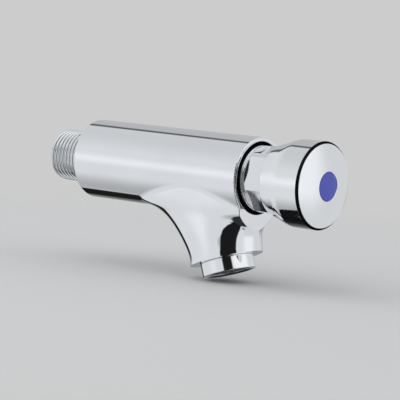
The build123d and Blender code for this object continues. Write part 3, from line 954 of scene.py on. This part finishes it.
@dataclass
class BonnetNut:
    """The bonnet: a threaded collar, a bevelled hexagon and a boss round the stem."""

    rear: float = 62.0
    lead_in: float = 0.4
    hex_start: float = 86.6
    hex_front: float = 97.5
    hex_sides: int = 6
    boss_front: float = 99.9
    thread_radius: float = 12.9
    thread_reach: float = 6.0
    thread_stop: float = 0.2
    pitch: float = 0.8
    depth: float = 0.3
    steps_per_turn: int = 10
    cut_margin: float = 1.0
    collar_overlap: float = 0.1
    collar_break: float = 0.05
    across_flats: float = 24.0
    corner_radius: float = 13.3
    bevel: float = 0.8
    front_bevel_length: float = 0.5
    front_bevel_depth: float = 1.0
    turn: float = 16.5
    boss_radius: float = 9.4
    boss_sink: float = 1.0
    boss_break: float = 0.4
    stem_bore: float = 4.3
    bush_bore: float = 6.95
    bush_start: float = 87.8
    bore_overrun: float = 2.0
    recess_radius: float = 9.5
    recess_length: float = 8.0
    crease: float = 25.0
    collar_segments: int = 128
    bevel_segments: int = 180
    boss_segments: int = 96

    def collar(self) -> bpy.types.Mesh:
        """Make the collar.

        Returns:
            The threaded collar with its bores.
        """
        thread_start = self.hex_start - self.thread_reach
        front = self.hex_start + self.collar_overlap
        recess_end = self.rear + self.recess_length
        outline = Outline(
            (self.rear, self.recess_radius),
            (self.rear, self.thread_radius - self.lead_in),
            (self.rear + self.lead_in, self.thread_radius),
            (thread_start, self.thread_radius),
            (front, self.thread_radius, self.collar_break, self.pitch / self.steps_per_turn),
            (front, self.stem_bore),
            (recess_end, self.stem_bore),
            (recess_end, self.recess_radius))
        blank = turned_mesh(outline, self.collar_segments, TAP_AXIS, keep_facing=False)
        recipe = thread_recipe(thread_start, self.hex_start - self.thread_stop, self.pitch, self.depth,
                               self.boss_radius + self.cut_margin)
        return recipe.bake(blank, TRIM_CHROME.material())

    def prism(self) -> bpy.types.Mesh:
        """Make the blank of the hexagon.

        Returns:
            A plain prism with sharp corners.
        """
        blank = bmesh.new()
        half_side = math.radians(180 / self.hex_sides)
        reach = self.across_flats / 2 / math.cos(half_side)
        ring: List[bmesh.types.BMVert] = []
        for side in range(self.hex_sides):
            angle = math.radians(self.turn + 360 / self.hex_sides * side + 90) + half_side
            ring.append(blank.verts.new(
                Vector((self.hex_start, reach * math.sin(angle), reach * math.cos(angle))) * MM))
        face = blank.faces.new(ring)
        grown = bmesh.ops.extrude_face_region(blank, geom=[face])
        moved = [item for item in grown["geom"] if isinstance(item, bmesh.types.BMVert)]
        bmesh.ops.translate(blank, verts=moved, vec=Vector((self.hex_front - self.hex_start, 0, 0)) * MM)
        bmesh.ops.recalc_face_normals(blank, faces=blank.faces[:])
        return plain_mesh(blank, "prism")

    def hexagon(self) -> bpy.types.Mesh:
        """Make the hexagon with rounded corners and turned bevels.

        Returns:
            The hexagon with its boss and bores.
        """
        limit = Outline(
            (self.hex_start, 0.0),
            (self.hex_start, self.corner_radius - self.bevel),
            (self.hex_start + self.bevel, self.corner_radius),
            (self.hex_front - self.front_bevel_length, self.corner_radius),
            (self.hex_front, self.corner_radius - self.front_bevel_depth),
            (self.hex_front, 0.0), closed=False)
        boss = Outline(
            (self.hex_front - self.boss_sink, 0.0),
            (self.hex_front - self.boss_sink, self.boss_radius),
            (self.boss_front, self.boss_radius, self.boss_break),
            (self.boss_front, 0.0), closed=False)
        bore = Outline(
            (self.hex_start - self.bore_overrun, 0.0),
            (self.hex_start - self.bore_overrun, self.stem_bore),
            (self.bush_start, self.stem_bore),
            (self.bush_start, self.bush_bore),
            (self.boss_front + self.bore_overrun, self.bush_bore),
            (self.boss_front + self.bore_overrun, 0.0), closed=False)
        whole = self.prism()
        for outline, segments, way in ((limit, self.bevel_segments, Combining.COMMON),
                                       (boss, self.boss_segments, Combining.BOTH),
                                       (bore, self.boss_segments, Combining.WITHOUT)):
            whole = combined(whole, turned_mesh(outline, segments, TAP_AXIS, keep_facing=False), way)
        return whole

    def build(self) -> None:
        """Make the bonnet with its thread, hexagon and boss."""
        head = self.hexagon()
        head.shade_smooth()
        head.set_sharp_from_angle(angle=math.radians(self.crease))
        collar = self.collar()
        head.materials.clear()
        head.materials.append(collar.materials[0])
        mesh = joined([head, collar])
        settle(piece("bonnet_nut_dressed", mesh), Body.TAP, Slot.TRIM_CHROME, "bonnet_nut")


@dataclass
class PushButton:
    """The bell-shaped button with its domed face, and the coloured insert in it."""

    rear: float = 95.4
    edge: float = 115.8
    radius: float = 17.15
    mouth_radius: float = 14.15
    bore: float = 13.6
    shoulder: float = 10.5
    bend_along: float = 0.48
    bend_out: float = 0.52
    mouth_slope: float = 0.3
    bend_steps: int = 22
    side_step: float = 2.0
    face_radius: float = 16.2
    face_steps: int = 24
    edge_length: float = 0.95
    dome: float = 2.3
    floor: float = 113.0
    boss_radius: float = 7.0
    boss_length: float = 5.8
    journal_length: float = 4.5
    journal_radius: float = 3.36
    pocket_radius: float = 5.4
    insert_radius: float = 5.65
    insert_length: float = 2.9
    insert_gap: float = 0.06
    insert_steps: int = 12
    seat_chamfer: float = 0.12
    bore_break: float = 0.2
    mouth_break: float = 0.18
    edge_break: float = 0.2
    rim_break: float = 0.08
    seat_break: float = 0.05
    boss_break: float = 0.3
    floor_break: float = 0.5
    insert_rear_break: float = 0.1
    insert_front_break: float = 0.22
    segments: int = 256
    insert_segments: int = 128

    def dome_ball(self) -> float:
        """Give the radius of the sphere that the face is cut from."""
        return (self.face_radius ** 2 + self.dome ** 2) / (2 * self.dome)

    def face_place(self, radius: float) -> float:
        """Give the place along the axis of the face at a radius."""
        ball = self.dome_ball()
        return self.edge + self.dome - ball + math.sqrt(ball ** 2 - radius ** 2)

    def shoulder_points(self) -> List[Point]:
        """Work out the S-shaped shoulder from the mouth to the full radius.

        Returns:
            Points on the shoulder.
        """
        start = Vector((self.rear, self.mouth_radius))
        middle = Vector((self.rear + self.bend_along * self.shoulder,
                         self.mouth_radius + self.bend_out * (self.radius - self.mouth_radius)))
        end = Vector((self.rear + self.shoulder, self.radius))
        first = (middle - start).length
        second = (end - middle).length
        leaving = Vector((1.0, self.mouth_slope)).normalized()
        landing = Vector((1.0, 0.0))
        pull = 3 * ((middle - start) / first ** 2 + (end - middle) / second ** 2)
        through = (pull - leaving / first - landing / second) / (2 * (1 / first + 1 / second))
        points: List[Point] = []
        for a, b, way_a, way_b, span in ((start, middle, leaving, through, first),
                                         (middle, end, through, landing, second)):
            for step in range(self.bend_steps):
                t = step / self.bend_steps
                spot = ((2 * t ** 3 - 3 * t ** 2 + 1) * a + (t ** 3 - 2 * t ** 2 + t) * span * way_a
                        + (3 * t ** 2 - 2 * t ** 3) * b + (t ** 3 - t ** 2) * span * way_b)
                points.append((spot.x, spot.y))
        points.append((end.x, end.y))
        return points

    def face_points(self, start: float, end: float, steps: int) -> List[Point]:
        """Work out points of the domed face between two radii, without the two ends.

        Args:
            start: The first radius.
            end: The last radius.
            steps: Number of steps between them.

        Returns:
            Points on the face.
        """
        radii = [start + (end - start) * step / steps for step in range(1, steps)]
        return [(self.face_place(radius), radius) for radius in radii]

    def shell(self) -> bpy.types.Mesh:
        """Make the button's shell.

        Returns:
            The shell, open at the rear.
        """
        seat = self.insert_radius + self.insert_gap
        rim = seat + self.seat_chamfer
        seat_floor = self.edge + self.dome - self.insert_length
        boss_rear = self.floor - self.boss_length
        journal_end = boss_rear + self.journal_length
        shoulder = self.shoulder_points()
        outline = Outline((self.rear, self.bore, self.bore_break), (*shoulder[0], self.mouth_break))
        outline.curve(shoulder[1:])
        outline.path((self.edge - self.edge_length, self.radius, self.edge_break, self.side_step),
                     (self.edge, self.face_radius, self.edge_break))
        outline.curve(self.face_points(self.face_radius, rim, self.face_steps))
        outline.path(
            (self.face_place(rim), rim, self.rim_break),
            (self.face_place(rim) - self.seat_chamfer, seat, self.seat_break),
            (seat_floor, seat),
            (seat_floor, self.pocket_radius),
            (journal_end, self.pocket_radius),
            (journal_end, self.journal_radius),
            (boss_rear, self.journal_radius),
            (boss_rear, self.boss_radius, self.boss_break),
            (self.floor, self.boss_radius, self.floor_break),
            (self.floor, self.bore, self.floor_break))
        return turned_mesh(outline, self.segments, TAP_AXIS)

    def insert(self) -> bpy.types.Mesh:
        """Make the insert.

        Returns:
            The round insert with its softened edge.
        """
        front = self.edge + self.dome
        outline = Outline(
            (front - self.insert_length, 0.0, 0.0),
            (front - self.insert_length, self.insert_radius, self.insert_rear_break),
            (self.face_place(self.insert_radius), self.insert_radius, self.insert_front_break), closed=False)
        outline.curve(self.face_points(self.insert_radius, 0.0, self.insert_steps))
        outline.corner(front, 0.0, 0.0)
        return turned_mesh(outline, self.insert_segments, TAP_AXIS)

    def build(self) -> None:
        """Make the button and its insert."""
        shell = self.shell()
        shell.materials.append(BUTTON_CHROME.material())
        settle(piece("push_button_polished", shell), Body.BUTTON, Slot.BUTTON_CHROME, "push_button")
        insert = self.insert()
        insert.materials.append(BLUE_PLASTIC.material())
        settle(piece("button_insert_domed", insert), Body.BUTTON, Slot.BLUE_PLASTIC, "button_insert")


@dataclass
class Aerator:
    """The aerator: a ring screwed into the outlet, and the fine grid in its mouth."""

    jet: Jet
    radius: float = 10.7
    height: float = 5.57
    thread_radius: float = 9.95
    thread_length: float = 6.5
    bore: float = 8.7
    lip_radius: float = 8.1
    lip_length: float = 1.1
    lip_edge: float = 0.8
    lip_fall: float = 0.65
    ledge_radius: float = 7.9
    ledge_length: float = 3.0
    plate_length: float = 2.0
    grid_radius: float = 8.6
    grid_length: float = 1.2
    grid_pitch: float = 1.15
    grid_wire: float = 0.17
    grid_sides: int = 8
    frame_width: float = 0.6
    frame_overlap: float = 0.45
    layer_share: float = 1.2
    shoulder_break: float = 0.25
    edge_break: float = 0.36
    lip_break: float = 0.1
    segments: int = 192
    frame_segments: int = 96

    def ring(self) -> bpy.types.Mesh:
        """Make the ring.

        Returns:
            The ring with its thread's plain tail, ledge and lip.
        """
        top = -self.thread_length
        plate = top + self.plate_length
        ledge = plate + self.ledge_length
        lip = self.height - self.lip_length
        outline = Outline(
            (top, self.bore),
            (top, self.thread_radius),
            (0.0, self.thread_radius),
            (0.0, self.radius, self.shoulder_break),
            (self.height, self.radius, self.edge_break),
            (self.height, self.radius - self.lip_edge, self.lip_break),
            (self.height - self.lip_fall, self.lip_radius, self.lip_break),
            (lip, self.lip_radius, self.lip_break),
            (lip, self.bore),
            (ledge, self.bore),
            (ledge, self.ledge_radius),
            (plate, self.ledge_radius),
            (plate, self.bore))
        return turned_mesh(outline, self.segments, self.jet.place())

    def grid_recipe(self) -> GeometryRecipe:
        """Make the tree that lays two layers of wires across a round frame.

        Returns:
            The recipe, which works in the jet's own frame.
        """
        rim = self.grid_radius - self.frame_overlap
        rows = 2 * int(rim / self.grid_pitch) + 1
        recipe = GeometryRecipe("round_wire_grid", {
            "Rim Radius": rim * MM, "Pitch": self.grid_pitch * MM, "Wire Radius": self.grid_wire * MM,
            "Rows": float(rows)})
        sheet = recipe.sheet
        half = sheet.math("MULTIPLY", sheet.math("SUBTRACT", recipe.size("Rows"), 1.0), -0.5)
        line = sheet.add("GeometryNodeMeshLine", {
            "Count": recipe.size("Rows"),
            "Start Location": sheet.vector(Y=sheet.math("MULTIPLY", half, recipe.size("Pitch"))),
            "Offset": sheet.vector(Y=recipe.size("Pitch"))}, mode="OFFSET", count_mode="TOTAL")
        thread = sheet.add("GeometryNodeCurvePrimitiveLine", {
            "Start": (0.0, 0.0, -1.0), "End": (0.0, 0.0, 1.0)})
        aside = sheet.split(sheet.add("GeometryNodeInputPosition").outputs["Position"])[1]
        chord = sheet.math("SQRT", sheet.math("MAXIMUM", sheet.math(
            "SUBTRACT", sheet.math("MULTIPLY", recipe.size("Rim Radius"), recipe.size("Rim Radius")),
            sheet.math("MULTIPLY", aside, aside)), 0.0))
        laid = sheet.add("GeometryNodeInstanceOnPoints", {
            "Points": line.outputs["Mesh"], "Instance": thread.outputs["Curve"],
            "Scale": sheet.vector(X=1.0, Y=1.0, Z=chord)})
        loose = sheet.add("GeometryNodeRealizeInstances", {"Geometry": laid.outputs["Instances"]})
        layer = recipe.wire(loose.outputs["Geometry"], self.grid_sides)
        apart = sheet.vector(X=sheet.math("MULTIPLY", recipe.size("Wire Radius"), self.layer_share))
        crossing = sheet.add("GeometryNodeTransform", {
            "Geometry": layer, "Translation": apart, "Rotation": (math.pi / 2, 0.0, 0.0)})
        both = sheet.add("GeometryNodeJoinGeometry")
        for geometry in (recipe.entry.outputs["Geometry"], layer, crossing.outputs["Geometry"]):
            sheet.feed(both.inputs["Geometry"], geometry)
        recipe.close(both.outputs["Geometry"])
        return recipe

    def grid(self) -> bpy.types.Mesh:
        """Make the grid.

        Returns:
            The wire grid in its round frame.
        """
        thick = self.grid_length / 2
        inner = self.grid_radius - self.frame_width
        hoop = Outline((-thick, inner), (-thick, self.grid_radius), (thick, self.grid_radius), (thick, inner))
        blank = turned_mesh(hoop, self.frame_segments, TAP_AXIS, keep_facing=False)
        mesh = self.grid_recipe().bake(blank, GREY_PLASTIC.material())
        middle = self.height - self.lip_length - thick
        mesh.transform(self.jet.place() @ Matrix.Translation(Vector((middle * MM, 0, 0))))
        return mesh

    def build(self) -> None:
        """Make the aerator's ring and grid."""
        ring = self.ring()
        ring.materials.append(AERATOR_CHROME.material())
        settle(piece("aerator_ring_polished", ring), Body.TAP, Slot.AERATOR_CHROME, "aerator_housing")
        settle(piece("aerator_wire_grid", self.grid()), Body.TAP, Slot.GREY_PLASTIC, "aerator_mesh")


@dataclass
class ReturnSpring:
    """The coil spring between the sleeve's partition and the piston."""

    start: float = 35.3
    end: float = 48.9
    turns: float = 4.5
    mean_radius: float = 6.0
    wire: float = 0.6
    travel: float = 6.5
    steps_per_turn: int = 48
    wire_sides: int = 20

    def recipe(self) -> GeometryRecipe:
        """Make the tree that winds the wire.

        Returns:
            The recipe, which winds along Z from zero.
        """
        recipe = GeometryRecipe("wound_wire", {
            "Turns": self.turns, "Mean Radius": self.mean_radius * MM, "Wire Radius": self.wire * MM,
            "Length": (self.end - self.start) * MM})
        sheet = recipe.sheet
        coil = sheet.add("GeometryNodeCurveSpiral", {
            "Resolution": self.steps_per_turn, "Rotations": recipe.size("Turns"),
            "Start Radius": recipe.size("Mean Radius"), "End Radius": recipe.size("Mean Radius"),
            "Height": recipe.size("Length")})
        recipe.close(recipe.wire(coil.outputs["Curve"], self.wire_sides))
        return recipe

    def build(self) -> None:
        """Wind the spring."""
        mesh = self.recipe().bake(bpy.data.meshes.new("empty"), SPRING_STEEL.material())
        lay = Matrix.Rotation(math.pi / 2, 4, "Y")
        mesh.transform(Matrix.Translation(Vector((self.start * MM, 0, 0))) @ lay)
        made = settle(piece("return_spring_wound", mesh), Body.TAP, Slot.SPRING_STEEL, "return_spring")
        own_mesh(made)


@dataclass
class Cartridge:
    """The hidden pieces, which keep the CAD's solids and get their own finishes."""

    def build(self) -> None:
        """Dress every hidden piece."""
        dress(("cartridge_sleeve", "washer_nut", "washer_holder"), BRASS)
        dress(("plunger_stem", "button_screw", "bush_circlip", "timing_needle"), STEM_STEEL)
        dress(("inlet_strainer",), FILTER_STEEL)
        dress(("sleeve_rear_o_ring", "sleeve_front_o_ring", "bonnet_o_ring", "stem_o_ring",
               "flow_regulator_o_ring", "piston_lip_seal", "valve_washer", "aerator_washer"), RUBBER)
        dress(("nipple_seal",), FIBRE)
        dress(("timing_piston", "stem_guide_bush", "flow_regulator"), WHITE_PLASTIC)
        dress(("aerator_jet_plate",), GREY_PLASTIC)


@dataclass
class Card:
    """A soft-edged panel of the studio round the object, in degrees seen from it."""

    azimuth: float
    half_width: float
    low: float
    high: float
    level: float
    side_fade: float = 4.0
    end_fade: float = 4.0

    def mask(self, sheet: NodeSheet, azimuth: Socket, elevation: Socket) -> Socket:
        """Work out how far a direction lies on the panel.

        Args:
            sheet: The world's node tree.
            azimuth: The direction's azimuth, in radians.
            elevation: Its elevation, in radians.

        Returns:
            A socket that runs from zero beside the panel to one on it.
        """
        off = sheet.math("SUBTRACT", azimuth, math.radians(self.azimuth))
        wrapped = sheet.math("WRAP", off, math.pi, -math.pi)
        side, end = math.radians(self.side_fade), math.radians(self.end_fade)
        half = math.radians(self.half_width)
        across = sheet.ramp(sheet.math("ABSOLUTE", wrapped), half - side, half + side, 1.0, 0.0)
        low, high = math.radians(self.low), math.radians(self.high)
        above = sheet.ramp(elevation, low - end, low + end)
        below = sheet.ramp(elevation, high - end, high + end, 1.0, 0.0)
        return sheet.math("MULTIPLY", across, sheet.math("MULTIPLY", above, below))


@dataclass
class Studio:
    """The floor, the light and the camera."""

    backdrop: Colour = (0.604, 0.604, 0.604)
    tent: float = 0.79
    cool_tint: Colour = (0.985, 1.0, 1.02)
    focal: float = 189.0
    sensor: float = 36.0
    clip: Span = (10.0, 20000.0)
    azimuth: float = 39.30
    elevation: float = 4.74
    roll: float = 3.89
    distance: float = 836.8
    aim: Spot = (60.0, 0.0, 0.0)
    slide: Span = (4.49, 11.11)
    floor_radius: float = 1400.0
    floor_sides: int = 96
    floor_gap: float = 0.05
    floor_fade: float = 420.0
    fade_start_share: float = 0.3
    floor_tone: float = 0.69
    card_level: float = -313.0
    card_tone: float = 0.01
    card_corners: Tuple[Point, ...] = (
        (-158.0, -38.0), (-145.0, -51.0), (-136.0, -86.0), (-122.0, -135.0), (-105.0, -150.0),
        (-105.0, 100.0), (-158.0, 100.0))
    key_power: float = 5.0
    key_size: float = 1800.0
    key_spot: Spot = (-350.0, -750.0, 950.0)

    def cards(self) -> List[Card]:
        """List the studio's panels.

        Returns:
            The panels, each laid over those before it.
        """
        return [
            Card(-145.0, 50.0, -90.0, -40.0, 0.42, side_fade=12.0, end_fade=14.0),
            Card(-150.0, 60.0, 38.0, 90.0, 0.66, side_fade=12.0, end_fade=18.0),
            Card(-145.0, 37.0, -5.0, 9.0, 0.95, side_fade=12.0, end_fade=8.0),
            Card(55.0, 50.0, -90.0, 60.0, 0.73, side_fade=10.0, end_fade=10.0),
            Card(27.0, 19.0, -14.0, 30.0, 0.97, side_fade=12.0, end_fade=9.0),
            Card(5.0, 33.0, 14.0, 60.0, 1.0, side_fade=11.0, end_fade=5.0),
            Card(125.0, 25.0, -90.0, 90.0, 0.52, side_fade=6.0, end_fade=4.0),
            Card(117.0, 34.0, -90.0, -20.0, 0.025, side_fade=2.0, end_fade=26.0),
            Card(152.0, 3.8, -12.0, 60.0, 0.12, side_fade=1.8, end_fade=4.0),
            Card(155.0, 12.5, -90.0, -10.0, 0.012, side_fade=1.6, end_fade=5.0),
            Card(-42.5, 25.5, -80.0, 12.0, 0.012, side_fade=2.0, end_fade=2.0),
            Card(-55.0, 20.0, 8.0, 27.0, 0.012, side_fade=3.0, end_fade=3.0),
            Card(-80.0, 45.0, -90.0, -60.0, 0.012, side_fade=6.0, end_fade=5.0),
            Card(-55.0, 20.0, -90.0, -47.0, 0.012, side_fade=5.0, end_fade=4.0),
            Card(1.0, 8.0, -56.0, -47.0, 0.14, side_fade=4.0, end_fade=3.0),
            Card(0.0, 200.0, -90.0, -66.0, 0.03, side_fade=4.0, end_fade=4.0),
        ]

    def cool(self, level: float) -> Tuple[float, float, float, float]:
        """Give a level of light its slightly cool colour."""
        return rgba(tuple(level * part for part in self.cool_tint))

    def world(self) -> None:
        """Build the studio's surroundings."""
        world = bpy.data.worlds.new("studio")
        world.use_nodes = True
        bpy.context.scene.world = world
        sheet = NodeSheet(world.node_tree)
        way = sheet.add("ShaderNodeVectorMath", {0: sheet.add("ShaderNodeTexCoord").outputs["Generated"]},
                        operation="NORMALIZE")
        x, y, z = sheet.split(way.outputs["Vector"])
        azimuth = sheet.math("ARCTAN2", y, x)
        elevation = sheet.math("ARCSINE", z)
        tone: object = self.cool(self.tent)
        for card in self.cards():
            tone = sheet.blend(card.mask(sheet, azimuth, elevation), tone, self.cool(card.level))
        light = sheet.add("ShaderNodeBackground", {"Color": tone})
        plain = sheet.add("ShaderNodeBackground", {"Color": rgba(self.backdrop)})
        chosen = sheet.add("ShaderNodeMixShader", {
            0: sheet.add("ShaderNodeLightPath").outputs["Is Camera Ray"],
            1: light.outputs["Background"], 2: plain.outputs["Background"]})
        sheet.show(chosen.outputs["Shader"], "ShaderNodeOutputWorld")

    def floor(self) -> None:
        """Lay the pale floor under the lowest point of the tap."""
        level = CAD_BOX[0][2] - self.floor_gap * MM
        middle = Vector((self.aim[0] * MM, 0, level))
        turns = [FULL_TURN * side / self.floor_sides for side in range(self.floor_sides)]
        mesh = flat_mesh("floor", [
            middle + Vector((math.cos(turn), math.sin(turn), 0)) * self.floor_radius * MM for turn in turns])
        made = piece("floor", mesh)
        material, sheet = new_material("pale_floor")
        place = sheet.add("ShaderNodeTexCoord").outputs["Object"]
        away = sheet.add("ShaderNodeVectorMath", {0: place, 1: middle}, operation="DISTANCE")
        fade = sheet.ramp(away.outputs["Value"], self.fade_start_share * self.floor_fade * MM,
                          self.floor_fade * MM)
        paint = sheet.add("ShaderNodeBsdfDiffuse", {"Color": rgba((self.floor_tone,) * 3)})
        clear = sheet.add("ShaderNodeBsdfTransparent")
        mixed = sheet.add("ShaderNodeMixShader", {
            0: fade, 1: paint.outputs["BSDF"], 2: clear.outputs["BSDF"]})
        sheet.show(mixed.outputs["Shader"])
        mesh.materials.append(material)
        made.visible_glossy = False

    def dark_card(self) -> None:
        """Lay the small dark card that shows as a band in the underside of the button."""
        mesh = flat_mesh("dark_card", [
            Vector((*corner, self.card_level)) * MM for corner in self.card_corners])
        made = piece("dark_card", mesh)
        material, sheet = new_material("black_card")
        paint = sheet.add("ShaderNodeBsdfDiffuse", {"Color": rgba((self.card_tone,) * 3)})
        sheet.show(paint.outputs["BSDF"])
        mesh.materials.append(material)
        made.visible_camera = False
        made.visible_diffuse = False
        made.visible_shadow = False

    def lamps(self) -> None:
        """Hang the soft key lamp."""
        light = bpy.data.lights.new("key", "AREA")
        light.shape = "DISK"
        light.size = self.key_size * MM
        light.energy = self.key_power
        lamp = bpy.data.objects.new("key", light)
        bpy.context.scene.collection.objects.link(lamp)
        spot = Vector([part * MM for part in self.key_spot])
        back = spot - Vector([part * MM for part in self.aim])
        lamp.matrix_world = Matrix.Translation(spot) @ back.to_track_quat("Z", "Y").to_matrix().to_4x4()
        lamp.visible_glossy = False

    def camera(self) -> None:
        """Set the camera at the photograph's viewing angle."""
        turn, rise, roll = (math.radians(value) for value in (self.azimuth, self.elevation, self.roll))
        back = Vector((math.sin(turn) * math.cos(rise), -math.cos(turn) * math.cos(rise), math.sin(rise)))
        level = Vector((math.cos(turn), math.sin(turn), 0))
        up = back.cross(level)
        right = math.cos(roll) * level + math.sin(roll) * up
        top = -math.sin(roll) * level + math.cos(roll) * up
        spot = Vector(self.aim) - self.slide[0] * right - self.slide[1] * top + self.distance * back
        lens = bpy.data.cameras.new("camera")
        lens.lens = self.focal
        lens.sensor_width = self.sensor
        lens.sensor_fit = "HORIZONTAL"
        lens.clip_start, lens.clip_end = (limit * MM for limit in self.clip)
        view = bpy.data.objects.new("camera", lens)
        bpy.context.scene.collection.objects.link(view)
        view.matrix_world = Matrix.Translation(spot * MM) @ Matrix((right, top, back)).transposed().to_4x4()
        bpy.context.scene.camera = view

    def build(self) -> None:
        """Set up the whole studio."""
        bpy.context.scene.view_settings.view_transform = "Standard"
        self.camera()
        self.world()
        self.floor()
        self.dark_card()
        self.lamps()


def main() -> None:
    """Build the scene, one sub-assembly after another."""
    logging.basicConfig(level=logging.INFO, format="%(name)s: %(message)s")
    Studio().build()
    jet = Jet()
    TapBody().build()
    InletNipple().build()
    BonnetNut().build()
    PushButton().build()
    Aerator(jet).build()
    ReturnSpring().build()
    Cartridge().build()


if __name__ == "__main__":
    main()
